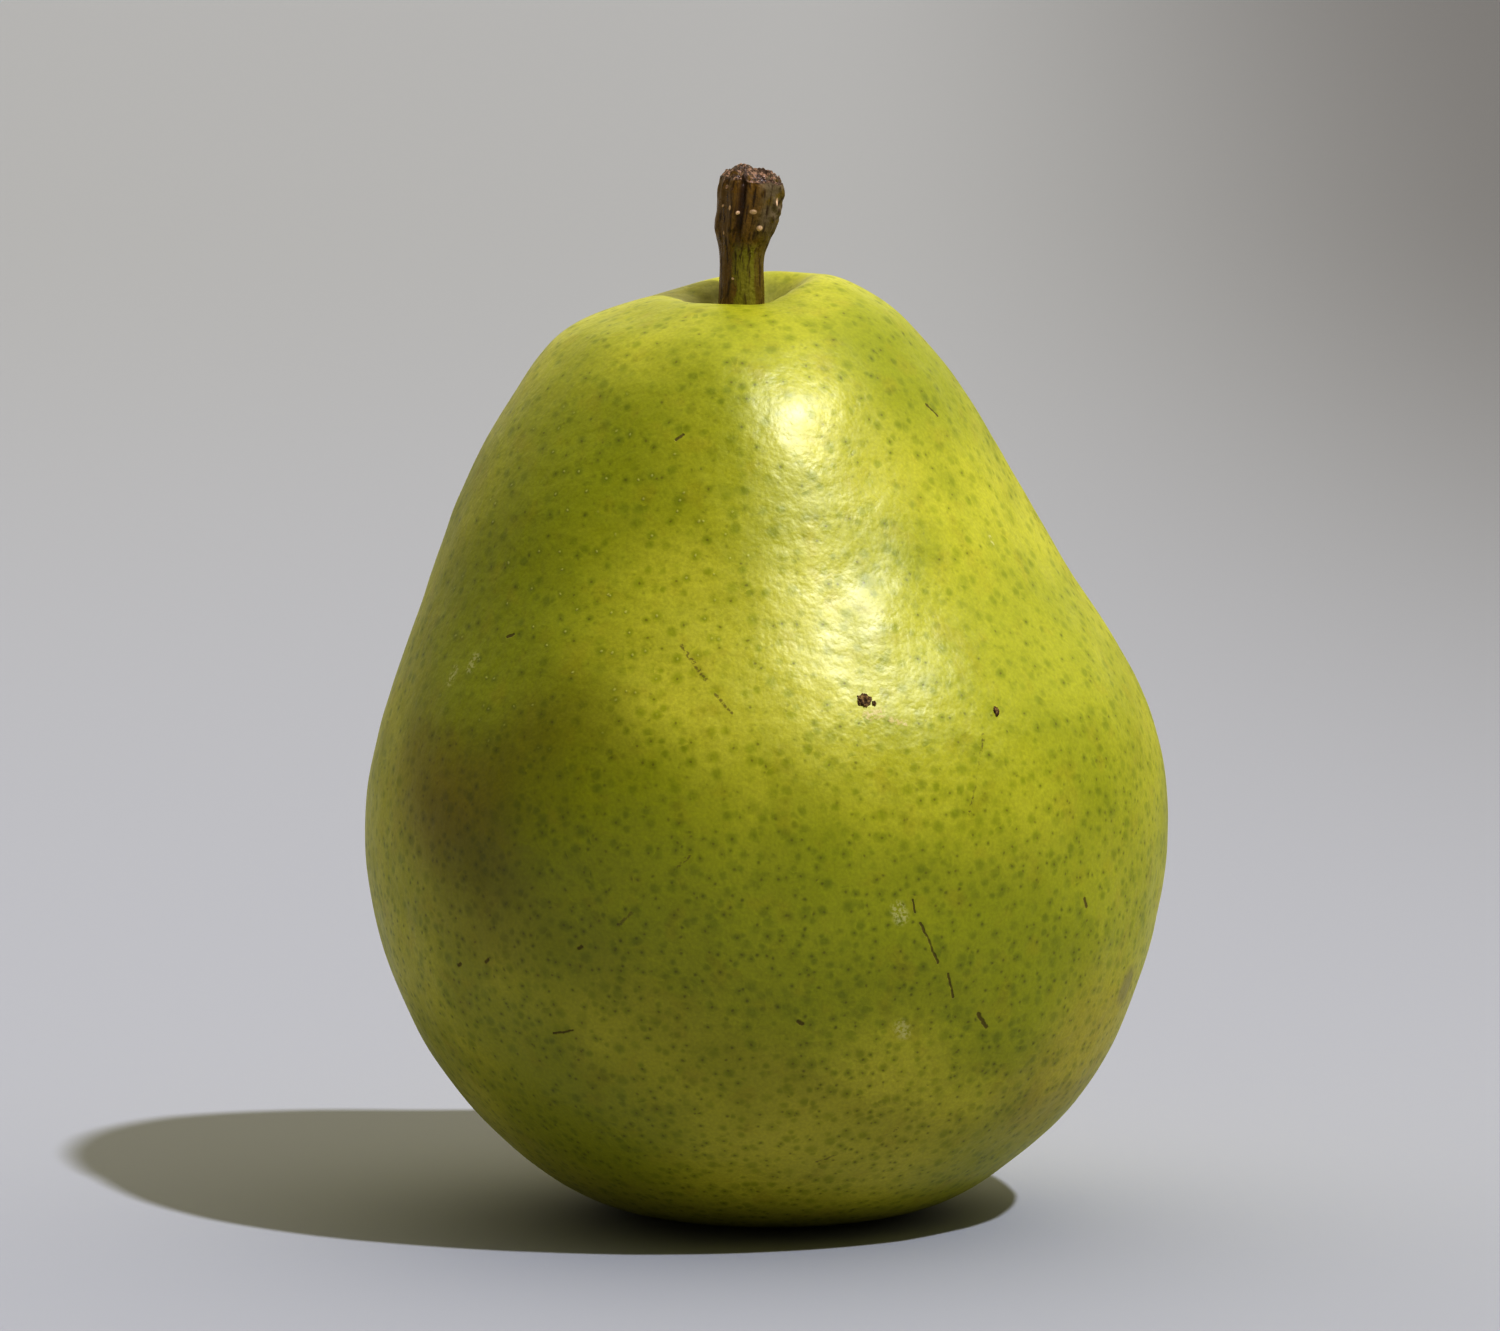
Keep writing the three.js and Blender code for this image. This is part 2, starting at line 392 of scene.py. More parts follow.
TINGE = linear("#aa9a1c")  # an olive tinge in small clouds between the pores
TINGE_CLOUDS = 3.5  # mm
tinge_noise = add(skin, "TexNoise", named={"Vector": skin_mm, "Scale": 1 / TINGE_CLOUDS, "Detail": 3.0})
tinge = add(skin, "MapRange", tinge_noise, 0.54, 0.72, 0, 0.2, interpolation_type="SMOOTHSTEP")
colour = add(skin, "Mix", tinge, colour, TINGE, data_type="RGBA")
brown_wide = add(skin, "Math", wide_own, 0.7, operation="GREATER_THAN")
brown_fine = add(skin, "Math", fine_own, 0.45, operation="GREATER_THAN")
brown_wide = add(skin, "Math", brown_wide, wide_point, operation="MULTIPLY")
brown_fine = add(skin, "Math", brown_fine, fine_point, operation="MULTIPLY")
brown_fine = add(skin, "Math", brown_fine, low_down, operation="MULTIPLY")
brown = add(skin, "Math", brown_wide, brown_fine, operation="MAXIMUM")
brown_share = add(skin, "Math", brown, 0.42, operation="MULTIPLY")
colour = add(skin, "Mix", brown_share, colour, PINPOINT, data_type="RGBA")
shade_place = strike(skin_tree, -38, 68)[0] / MM
shade_distance = add(skin, "VectorMath", wander, shade_place, operation="DISTANCE")
shade_side = add(skin, "MapRange", shade_distance, 24, 10, 0, 1, interpolation_type="SMOOTHSTEP")
# Pale pinpoints on the shaded side: raised pores whose pale colour is partly a painted glint.
pale = add(skin, "Math", wide_own, 0.35, operation="LESS_THAN")
pale = add(skin, "Math", pale, wide_point, operation="MULTIPLY")
pale = add(skin, "Math", pale, shade_side, operation="MULTIPLY")
pale_glint_share = add(skin, "Math", pale, 0.5, operation="MULTIPLY")
colour = add(skin, "Mix", pale_glint_share, colour, PALE_POINT_AND_GLINT, data_type="RGBA")


# Marks from handling and from twigs: dark healed scratches, dotted grazes, pale scuffs in the wax, specks
# of pale cork and one bruise; two pale spots among the scuffs are painted glints. A mark is its two ends,
# each a turn and a height in mm, and its half-width.
SCRATCHES = [
    (21.4, 36.9, 21.7, 35.6, 0.14),
    (22.6, 34.5, 25.7, 30.4, 0.19),
    (27.6, 29.2, 29.1, 26.7, 0.18),
    (34.0, 24.7, 36.0, 23.2, 0.28),
    (55.0, 82.5, 58.0, 81.3, 0.17),
    (-31.0, 23.2, -34.6, 22.7, 0.15),
    (-22.0, 80.3, -20.4, 80.8, 0.2),
    (-48.3, 60.9, -47.0, 61.2, 0.24),
    (-50.6, 28.6, -50.0, 28.8, 0.24),
    (-44.7, 29.4, -44.1, 29.7, 0.24),
    (-28.0, 31.8, -27.5, 32.0, 0.26),
    (52.5, 35.1, 53.0, 34.3, 0.26),
    (4.7, 24.9, 5.3, 24.7, 0.3),
    (130.0, 40.0, 137.0, 43.0, 0.2),
    (-112.0, 58.0, -114.0, 54.0, 0.22),
]
GRAZES = [
    (-14.5, 61.3, -9.8, 58.2, 0.3),
    (-8.2, 57.0, -5.5, 55.2, 0.22),
    (-10.8, 41.7, -21.5, 34.4, 0.28),
    (34.9, 52.2, 30.7, 44.9, 0.24),
    (10.0, 9.5, 24.0, 13.0, 0.22),
    (160.0, 56.0, 172.0, 50.0, 0.24),
]
SCUFFS_AND_GLINTS = [
    (19.6, 35.2, 19.2, 36.0, 1.1),
    (21.6, 23.4, 21.0, 24.0, 1.1),
    (56.5, 69.0, 56.8, 69.8, 0.35),
    # painted highlight: these two pale spots are painted glints
    (-54.4, 57.5, -54.2, 58.6, 0.8),
    (-58.2, 56.0, -58.0, 57.2, 0.7),
    (-98.0, 50.0, -97.0, 52.0, 1.2),
]
CORKY = [(16.0, 54.7, 18.0, 54.9, 0.8), (19.8, 54.2, 22.0, 53.8, 0.45)]
ragged = drifted(0.5, 0.16)


def streaks(marks):
    """How much of the skin the marks of a list cover, 0 to 1."""
    cover = None
    for turn_a, height_a, turn_b, height_b, reach in marks:
        start = strike(skin_tree, turn_a, height_a)[0] / MM
        way = strike(skin_tree, turn_b, height_b)[0] / MM - start
        arm = add(skin, "VectorMath", ragged, start, operation="SUBTRACT")
        share = add(skin, "VectorMath", arm, way / way.length_squared, operation="DOT_PRODUCT")
        share = add(skin, "Math", share, 0, operation="ADD", use_clamp=True)
        nearest = add(skin, "VectorMath", way, share, operation="SCALE")
        distance = add(skin, "VectorMath", arm, nearest, operation="DISTANCE")
        mark = add(skin, "MapRange", distance, reach, 0.35 * reach, 0, 1, interpolation_type="SMOOTHSTEP")
        cover = mark if cover is None else add(skin, "Math", cover, mark, operation="MAXIMUM")
    return cover


GRAIN = 0.34  # mm, coarser than the skin's real pebbling, so that it shows
scratched = streaks(SCRATCHES)
grain_noise = add(skin, "TexNoise", named={"Vector": skin_mm, "Scale": 1 / GRAIN, "Detail": 2.0})
beads = add(skin, "MapRange", grain_noise, 0.44, 0.56, 0, 1, interpolation_type="SMOOTHSTEP")
grazed = add(skin, "Math", streaks(GRAZES), beads, operation="MULTIPLY")
scuffed_and_glinting = add(skin, "Math", streaks(SCUFFS_AND_GLINTS), beads, operation="MULTIPLY")
corky = add(skin, "Math", streaks(CORKY), beads, operation="MULTIPLY")
bruise_place = strike(skin_tree, 70.6, 24.6)[0] / MM
bruise_distance = add(skin, "VectorMath", drifted(2.5, 1.0), bruise_place, operation="DISTANCE")
bruised = add(skin, "MapRange", bruise_distance, 2.6, 0.9, 0, 0.6, interpolation_type="SMOOTHSTEP")
HEALED = linear("#57431f")
WAX_SCUFF_AND_GLINT = linear("#c9c99c")
PALE_CORK = linear("#c4b96a")
BRUISE = linear("#8a8450")
scratch_share = add(skin, "Math", scratched, 0.75, operation="MULTIPLY")
graze_share = add(skin, "Math", grazed, 0.6, operation="MULTIPLY")
scuff_and_glint_share = add(skin, "Math", scuffed_and_glinting, 0.55, operation="MULTIPLY")
colour = add(skin, "Mix", bruised, colour, BRUISE, data_type="RGBA")
# the pale scuffs, and the two painted glints among them
colour = add(skin, "Mix", scuff_and_glint_share, colour, WAX_SCUFF_AND_GLINT, data_type="RGBA")
colour = add(skin, "Mix", corky, colour, PALE_CORK, data_type="RGBA")
colour = add(skin, "Mix", graze_share, colour, HEALED, data_type="RGBA")
colour = add(skin, "Mix", scratch_share, colour, HEALED, data_type="RGBA")

# The wall of the stalk cavity is paler and greyer than the skin outside, with corky brown crumbs round
# the stalk.
WALL = linear("#b9b970")
RUSSET = linear("#7d6a34")
CRUMB_SIZE = 0.8  # mm
flat_mm = add(skin, "VectorMath", skin_mm, (1, 1, 0), operation="MULTIPLY")
stalk_mm = (*(STALK_FOOT / MM), 0)
from_stalk = add(skin, "VectorMath", flat_mm, stalk_mm, operation="DISTANCE")
high_up = add(skin, "MapRange", height_mm, 84, 88, 0, 1)
wall = add(skin, "MapRange", from_stalk, 7.5, 4.2, 0, 0.75, interpolation_type="SMOOTHSTEP")
wall = add(skin, "Math", wall, high_up, operation="MULTIPLY")
colour = add(skin, "Mix", wall, colour, WALL, data_type="RGBA")
crumb_noise = add(skin, "TexNoise", named={"Vector": skin_mm, "Scale": 1 / CRUMB_SIZE, "Detail": 3.0})
crumb_reach = add(skin, "MapRange", crumb_noise, 0.35, 0.65, 1.9, 4.6)
crumb_edge = add(skin, "Math", crumb_reach, 0.5, operation="SUBTRACT")
crumbs = add(skin, "MapRange", from_stalk, crumb_reach, crumb_edge, 0, high_up)
colour = add(skin, "Mix", crumbs, colour, RUSSET, data_type="RGBA")

# Under the fruit the skin darkens into the calyx basin, and its fine grain shows as a slight change of tone.
BASIN = linear("#6e6420")
from_eye = add(skin, "VectorMath", flat_mm, (*(EYE_CENTRE / MM), 0), operation="DISTANCE")
near_foot = add(skin, "MapRange", height_mm, 9, 6, 0, 1)
basin = add(skin, "MapRange", from_eye, 8.5, 4.6, 0, 0.8, interpolation_type="SMOOTHSTEP")
basin = add(skin, "Math", basin, near_foot, operation="MULTIPLY")
colour = add(skin, "Mix", basin, colour, BASIN, data_type="RGBA")
tone = add(skin, "MapRange", grain_noise, 0.3, 0.7, 0.93, 1.07)
colour = add(skin, "VectorMath", colour, tone, operation="SCALE")
skin.links.new(colour.outputs[0], skin_shader.inputs["Base Color"])

# The wax is a little uneven, and duller on the scratches, the crumbs, the scuffs and the painted glints.
WAX_GLOSS = (0.4, 0.5)  # roughness where the wax lies thick and where it is thin
WORN_GLOSS = 0.8
WAX_CLOUDS = 3.0  # mm
worn = add(skin, "Math", scratched, crumbs, operation="MAXIMUM")
worn = add(skin, "Math", worn, scuffed_and_glinting, operation="MAXIMUM")
gloss_noise = add(skin, "TexNoise", named={"Vector": skin_mm, "Scale": 1 / WAX_CLOUDS, "Detail": 3.0})
gloss = add(skin, "MapRange", gloss_noise, 0.3, 0.7, *WAX_GLOSS)
roughness = add(skin, "MapRange", worn, 0, 1, gloss, WORN_GLOSS)
skin.links.new(roughness.outputs[0], skin_shader.inputs["Roughness"])
skin_shader.inputs["Specular IOR Level"].default_value = 0.7
skin_shader.inputs["Coat Weight"].default_value = 0.07
skin_shader.inputs["Coat Roughness"].default_value = 0.27

# Relief: soft dimples, fine pebbling, raised pores, sunken scratches and raised crumbs, in mm.
DIMPLE_SIZE = 1.5
DIMPLES = 0.11
PEBBLING = 0.02
PORE_RISE = 0.03
SCRATCH_DEPTH = 0.06
CRUMB_RISE = 0.1
peel_noise = add(skin, "TexNoise", named={"Vector": skin_mm, "Scale": 1 / DIMPLE_SIZE, "Detail": 2.0})
relief = add(skin, "MapRange", peel_noise, 0, 1, 0, DIMPLES)
relief = add(skin, "Math", grain_noise, PEBBLING, relief, operation="MULTIPLY_ADD")
relief = add(skin, "Math", pale, PORE_RISE, relief, operation="MULTIPLY_ADD")
relief = add(skin, "Math", scratched, -SCRATCH_DEPTH, relief, operation="MULTIPLY_ADD")
relief = add(skin, "Math", crumbs, CRUMB_RISE, relief, operation="MULTIPLY_ADD")
surface = add(skin, "Bump", named={"Strength": 1.0, "Distance": MM, "Height": relief})
skin.links.new(surface.outputs[0], skin_shader.inputs["Normal"])


# ---- Scabs ----
# Two small corky crusts on the front, where the young skin was hurt and healed. Each is a ragged flake
# of dead brown cork, sunk a little into the skin, with a hollow middle.

crust_material, crust, crust_shader = new_material("dead_cork_crust")
CRUST_RISE = 0.2  # mm, half of a crust's thickness
CRUST_LIFT = 0.02  # mm that its middle stands above the skin
# A name, a turn in degrees and a height in mm, half the width and the height in mm, and a number for chance.
CRUSTS = [
    ("scab_large", 15.7, 56.1, 0.62, 0.66, 4),
    ("scab_flake", 17.3, 55.8, 0.2, 0.26, 6),
    ("scab_small", 38.4, 54.3, 0.3, 0.46, 9),
]
for name, turn, height, across, tall, seed in CRUSTS:
    flake = bmesh.new()
    bmesh.ops.create_icosphere(flake, subdivisions=4, radius=1.0)
    for vertex in flake.verts:
        way = vertex.co.copy()
        ragged_edge = 1 + 0.5 * noise.noise(1.6 * way + Vector((seed, 0, 0))) + 0.35 * noise.noise(4 * way)
        hollow = 0.8 * math.exp(-((way.xy.length / 0.45) ** 2))
        pebbled = 0.3 * noise.noise(3.2 * way + Vector((0, seed, 0)))
        vertex.co = MM * Vector((
            across * ragged_edge * way.x,
            tall * ragged_edge * way.y,
            CRUST_RISE * (way.z * (1 + pebbled) - (hollow if way.z > 0 else 0)),
        ))
    place, normal = strike(skin_tree, turn, height)
    lift = Matrix.Translation(place + CRUST_LIFT * MM * normal)
    flake.transform(lift @ normal.to_track_quat("Z", "Y").to_matrix().to_4x4())
    scab = finished(name, flake, crust_material)
    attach(scab, "root")

# Dead cork is matt and crumbly: dark brown in its hollows and tan on its high grains.
CORK_DARK = linear("#523d20")
CORK_LIGHT = linear("#a58c5c")
CORK_GRAIN = 0.3  # mm
crust_mm = add(crust, "VectorMath", add(crust, "TexCoord").outputs["Object"], 1 / MM, operation="SCALE")
crumbling = add(crust, "TexNoise", named={"Vector": crust_mm, "Scale": 1 / CORK_GRAIN, "Detail": 3.0})
cork_share = add(crust, "MapRange", crumbling, 0.45, 0.68, 0, 1)
cork_colour = add(crust, "Mix", cork_share, CORK_DARK, CORK_LIGHT, data_type="RGBA")
crust.links.new(cork_colour.outputs[2], crust_shader.inputs["Base Color"])
cork_height = add(crust, "Bump", named={"Strength": 1.0, "Distance": 0.06 * MM, "Height": crumbling})
crust.links.new(cork_height.outputs[0], crust_shader.inputs["Normal"])
crust_shader.inputs["Roughness"].default_value = 0.85


# ---- Stalk ----
# A short woody stalk that grew out of the flesh and swells into a knob, where it snapped off its spur.
# It is the solid of the frame, with shrunken ridges, a deep furrow down the knob, pores and a torn end.

LEAN_FROM = 0.095  # the stalk leans to the right between these two heights
LEAN_TO = 0.1035
SHAFT_AXIS = STALK_FOOT + Vector((0.0002, 0))
KNOB_AXIS = SHAFT_AXIS + Vector((0.001, -0.0003))
FURROW_DEPTH = 0.42  # these are in mm
FURROW_LIP = 0.22
BARK_PORE_RISE = 0.13
SPLINTER_RISE = 0.42


def stalk_axis(z):
    """Where the middle of the stalk is at a height."""
    return SHAFT_AXIS.lerp(KNOB_AXIS, blend(LEAN_FROM, LEAN_TO, z))


# The pores of the bark: a turn from the front, a height in mm, and half their width and height in mm.
BARK_PORES = [
    (-52, 103.1, 0.2, 0.22),
    (-58, 101.2, 0.18, 0.15),
    (-36, 101.1, 0.22, 0.26),
    (-20, 100.6, 0.24, 0.2),
    (8, 100.7, 0.36, 0.24),
    (27, 99.0, 0.33, 0.3),
    (-50, 98.5, 0.15, 0.2),
    (-24, 93.9, 0.16, 0.14),
    (54, 101.6, 0.16, 0.4),
    (100, 97.6, 0.24, 0.2),
    (150, 100.4, 0.3, 0.24),
    (-130, 99.2, 0.26, 0.3),
    (-160, 102.0, 0.2, 0.2),
    (175, 95.6, 0.2, 0.24),
]
stalk_shape = bmesh.new()
stalk_shape.from_mesh(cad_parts["stalk"].data)
bmesh.ops.remove_doubles(stalk_shape, verts=stalk_shape.verts, dist=WELD)
join_to_quads(stalk_shape)
bmesh.ops.recalc_face_normals(stalk_shape, faces=stalk_shape.faces)
stalk_bottom = min(stalk_shape.verts, key=lambda v: v.co.z + (v.co.xy - STALK_FOOT).length)
unroll(stalk_shape, "OFBake", stalk_bottom)
bark_material, bark, bark_shader = new_material("dry_pear_bark")
stalk = finished("pear_stalk", stalk_shape, bark_material, levels=3)


def grow_bark(place, normal):
    """Where a point of the smooth stalk goes on the dried one."""
    arm = place.xy - stalk_axis(place.z)
    turn = math.atan2(arm.x, -arm.y)
    knob = blend(0.0955, 0.099, place.z)
    round_place = Vector((2.4 * math.sin(turn), 2.4 * math.cos(turn), place.z / 0.006))
    # The bark shrank as it dried, into soft ridges on the shaft and sharper ones on the knob.
    fold = noise.noise(1.1 * round_place) + 0.5 * noise.noise(2.7 * round_place + Vector((7, 0, 0)))
    swell = (0.1 + 0.16 * knob) * fold
    furrow = bump(math.radians(-16), math.radians(8), turn) * blend(0.0962, 0.0985, place.z)
    swell -= FURROW_DEPTH * furrow
    # A lip stands up beside the furrow, and a shoulder sticks out where the knob begins on the left.
    swell += FURROW_LIP * bump(math.radians(-30), math.radians(8), turn) * knob
    swell += 0.12 * bump(math.radians(-84), 0.35, turn) * bump(0.0988, 0.0009, place.z)
    swell += 0.06 * knob * noise.noise(place / (0.7 * MM))
    for pore_turn, pore_height, wide, tall in BARK_PORES:
        apart = turn_apart(turn, math.radians(pore_turn)) * arm.length / MM / wide
        aloft = (place.z / MM - pore_height) / tall
        swell += BARK_PORE_RISE * math.exp(-(apart**2) - aloft**2)
    # The end is torn: splinters stand up round a slanting, pitted face, and its right edge is frayed.
    torn = blend(0.35, 0.75, normal.z) * blend(0.1015, 0.1028, place.z)
    splinters = noise.noise(place / (0.75 * MM)) + 0.7 * noise.noise(place / (0.36 * MM))
    frayed = blend(0.0015, 0.0026, arm.x) * blend(0.0993, 0.1003, place.z)
    swell = swell * (1 - torn) + 0.3 * frayed * noise.noise(place / (0.6 * MM))
    # The knob's right corner stands up square, and its left one is worn round.
    corner = 0.65 * blend(0.0, 0.002, arm.x) - 0.4 * blend(0.0008, 0.0026, -arm.x) + 0.2
    rise = (SPLINTER_RISE * splinters - 0.1) * torn + corner * blend(0.1003, 0.1026, place.z)
    return place + normal * MM * swell + Vector((0, 0, MM * rise))


dried = [grow_bark(v.co.copy(), v.normal.copy()) for v in stalk.data.vertices]
for vertex, place in zip(stalk.data.vertices, dried):
    vertex.co = place
stalk.data.update()
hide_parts("stalk")
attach(stalk, "root")
stalk_tree = BVHTree.FromPolygons(
    [v.co.copy() for v in stalk.data.vertices], [list(p.vertices) for p in stalk.data.polygons]
)

# The shaft keeps a green stripe up its front between brown strips, with fine upright streaks. The knob is
# browner, with a shiny brown upper side, a dull grey right side, cream pores and a dark line of painted
# shade down its furrow, and the torn end is dark.
STREAK_WIDTH = 0.32  # the sizes of the bark's patterns, in mm
BLOTCH_SIZE = 1.3
FIBRE_SIZE = 0.4
bark_mm = add(bark, "VectorMath", add(bark, "TexCoord").outputs["Object"], 1 / MM, operation="SCALE")
bark_axes = add(bark, "SeparateXYZ", bark_mm)
bark_up = bark_axes.outputs["Z"]
leaning = add(bark, "MapRange", bark_up, LEAN_FROM / MM, LEAN_TO / MM, 0, 1, interpolation_type="SMOOTHSTEP")
axis_x = add(bark, "MapRange", leaning, 0, 1, SHAFT_AXIS.x / MM, KNOB_AXIS.x / MM)
axis_y = add(bark, "MapRange", leaning, 0, 1, SHAFT_AXIS.y / MM, KNOB_AXIS.y / MM)
arm_x = add(bark, "Math", bark_axes.outputs["X"], axis_x, operation="SUBTRACT")
arm_y = add(bark, "Math", axis_y, bark_axes.outputs["Y"], operation="SUBTRACT")
bark_turn = add(bark, "Math", arm_x, arm_y, operation="ARCTAN2")  # radians from the front to +X
low_z = add(bark, "Math", bark_up, 0.14, operation="MULTIPLY")
upright = add(bark, "CombineXYZ", arm_x, arm_y, low_z)
streak_noise = add(bark, "TexNoise", named={"Vector": upright, "Scale": 1 / STREAK_WIDTH, "Detail": 3.0})
blotch_noise = add(bark, "TexNoise", named={"Vector": bark_mm, "Scale": 1 / BLOTCH_SIZE, "Detail": 3.0})
BROWN = linear("#846829")
OLIVE_BARK = linear("#7d6c24")
GREEN_BARK = linear("#92902a")
GREY_BARK = linear("#7f7257")
DARK_BARK = linear("#4a3210")
PORE_CREAM = linear("#e4c9ab")
TORN = linear("#57432f")
TORN_GRAIN = linear("#a88a70")
wavering = add(bark, "MapRange", streak_noise, 0.3, 0.7, -0.25, 0.25)
wavered = add(bark, "Math", bark_turn, wavering, operation="ADD")
bark_colour = add(bark, "RGB")
bark_colour.outputs["Color"].default_value = BROWN
olive_share = add(bark, "MapRange", wavered, 0.2, 0.75, 0, 1, interpolation_type="SMOOTHSTEP")
bark_colour = add(bark, "Mix", olive_share, bark_colour, OLIVE_BARK, data_type="RGBA")
off_stripe = add(bark, "Math", add(bark, "Math", wavered, 0.1, operation="SUBTRACT"), operation="ABSOLUTE")
stripe = add(bark, "MapRange", off_stripe, 0.68, 0.36, 0, 0.85, interpolation_type="SMOOTHSTEP")
shaft = add(bark, "MapRange", bark_up, 97.9, 96.6, 0, 1, interpolation_type="SMOOTHSTEP")
stripe = add(bark, "Math", stripe, shaft, operation="MULTIPLY")
bark_colour = add(bark, "Mix", stripe, bark_colour, GREEN_BARK, data_type="RGBA")
on_knob = add(bark, "MapRange", bark_up, 97.6, 99.6, 0, 1, interpolation_type="SMOOTHSTEP")
grey = add(bark, "MapRange", bark_turn, 0.1, 0.6, 0, 0.9, interpolation_type="SMOOTHSTEP")
grey_blotch = add(bark, "MapRange", blotch_noise, 0.36, 0.5, 0, on_knob, interpolation_type="SMOOTHSTEP")
grey = add(bark, "Math", grey, grey_blotch, operation="MULTIPLY")
bark_colour = add(bark, "Mix", grey, bark_colour, GREY_BARK, data_type="RGBA")
dark_streaks = add(bark, "MapRange", streak_noise, 0.52, 0.64, 0, 0.85)
bark_colour = add(bark, "Mix", dark_streaks, bark_colour, DARK_BARK, data_type="RGBA")
# Painted shade: a dark line down the furrow of the knob.
painted_furrow_shade = add(bark, "Math", add(bark, "Math", bark_turn, 0.28, operation="ADD"), operation="ABSOLUTE")
painted_furrow_shade = add(bark, "MapRange", painted_furrow_shade, 0.2, 0.05, 0, on_knob, interpolation_type="SMOOTHSTEP")
bark_colour = add(bark, "Mix", painted_furrow_shade, bark_colour, DARK_BARK, data_type="RGBA")
pore_cover = None
for turn, height, wide, tall in BARK_PORES:
    centre = strike(stalk_tree, turn, height, stalk_axis(height * MM))[0] / MM
    arm = add(bark, "VectorMath", bark_mm, centre, operation="SUBTRACT")
    arm = add(bark, "VectorMath", arm, (1 / wide, 1 / wide, 1 / tall), operation="MULTIPLY")
    reach = add(bark, "VectorMath", arm, operation="LENGTH")
    pore = add(bark, "MapRange", reach, 1.25, 0.8, 0, 1, interpolation_type="SMOOTHSTEP")
    pore_cover = pore if pore_cover is None else add(bark, "Math", pore_cover, pore, operation="MAXIMUM")
bark_colour = add(bark, "Mix", pore_cover, bark_colour, PORE_CREAM, data_type="RGBA")
bark_facing = add(bark, "SeparateXYZ", add(bark, "NewGeometry").outputs["Normal"]).outputs["Z"]
scar_edge = add(bark, "MapRange", blotch_noise, 0.3, 0.7, 0.1, 0.5)
scar_top = add(bark, "Math", scar_edge, 0.25, operation="ADD")
high_end = add(bark, "MapRange", bark_up, 101.0, 102.6, 0, 1)
scar = add(bark, "MapRange", bark_facing, scar_edge, scar_top, 0, high_end)
torn_noise = add(bark, "TexNoise", named={"Vector": bark_mm, "Scale": 1 / FIBRE_SIZE, "Detail": 3.0})
torn_grain = add(bark, "MapRange", torn_noise, 0.5, 0.6, 0, 1)
torn_colour = add(bark, "Mix", torn_grain, TORN, TORN_GRAIN, data_type="RGBA")
bark_colour = add(bark, "Mix", scar, bark_colour, torn_colour, data_type="RGBA")
bark.links.new(bark_colour.outputs[2], bark_shader.inputs["Base Color"])

# The upper knob is polished by handling, and the rest is satin to matt.
polished = add(bark, "MapRange", blotch_noise, 0.42, 0.62, 0.24, 0.55)
bark_roughness = add(bark, "MapRange", grey, 0, 0.8, polished, 0.75)
bark_roughness = add(bark, "MapRange", pore_cover, 0, 1, bark_roughness, 0.85)
bark.links.new(bark_roughness.outputs[0], bark_shader.inputs["Roughness"])
wrinkles = add(bark, "Math", streak_noise, 0.14, operation="MULTIPLY")
wrinkles = add(bark, "Math", torn_noise, 0.12, wrinkles, operation="MULTIPLY_ADD")
bark_surface = add(bark, "Bump", named={"Strength": 1.0, "Distance": MM, "Height": wrinkles})
bark.links.new(bark_surface.outputs[0], bark_shader.inputs["Normal"])


# ---- Calyx ----
# What is left of the blossom, in the basin underneath: five dried sepals that hang round the open eye,
# and the withered stamens and styles inside it. All of it is brittle, dark brown and papery.

calyx_material, calyx, calyx_shader = new_material("withered_calyx")
SEPAL_COUNT = 5
SEPAL_LENGTH = 3.3  # these are in mm
SEPAL_HALF_WIDTH = 1.2
SEPAL_THICKNESS = 0.22
SEPAL_ROOT = (2.95, 4.15)  # how far from the eye's middle it hangs, and how high
for number in range(SEPAL_COUNT):
    chance = random.Random(20 + number)
    curl = chance.uniform(0.1, 0.55)
    twist = chance.uniform(-0.3, 0.3)
    leaf = bmesh.new()
    bmesh.ops.create_grid(leaf, x_segments=8, y_segments=14, size=1.0)
    for vertex in leaf.verts:
        across, along = vertex.co.x, (vertex.co.y + 1) / 2
        half = SEPAL_HALF_WIDTH * (1 - along**1.7) ** 0.75 + 0.06
        ripple = noise.noise(Vector((1.6 * across, 4 * along, 9 * number)))
        angle = 0.2 + curl * along**2
        out = SEPAL_LENGTH * along * math.sin(angle) - 0.3 * (across * half) ** 2 + 0.14 * ripple
        down = SEPAL_LENGTH * along * math.cos(angle)
        side = across * half + twist * along**2
        vertex.co = MM * Vector((side, -SEPAL_ROOT[0] - out, SEPAL_ROOT[1] - down + 0.1 * ripple))
    bmesh.ops.recalc_face_normals(leaf, faces=leaf.faces)
    bmesh.ops.solidify(leaf, geom=leaf.faces[:], thickness=SEPAL_THICKNESS * MM)
    bmesh.ops.recalc_face_normals(leaf, faces=leaf.faces)
    leaf.transform(
        Matrix.Translation((*EYE_CENTRE, 0)) @ Matrix.Rotation(number * math.tau / SEPAL_COUNT, 4, "Z")
    )
    sepal = finished(f"dried_sepal_{number + 1}", leaf, calyx_material, levels=1)
    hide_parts(f"sepal_{number + 1}")
    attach(sepal, "root")

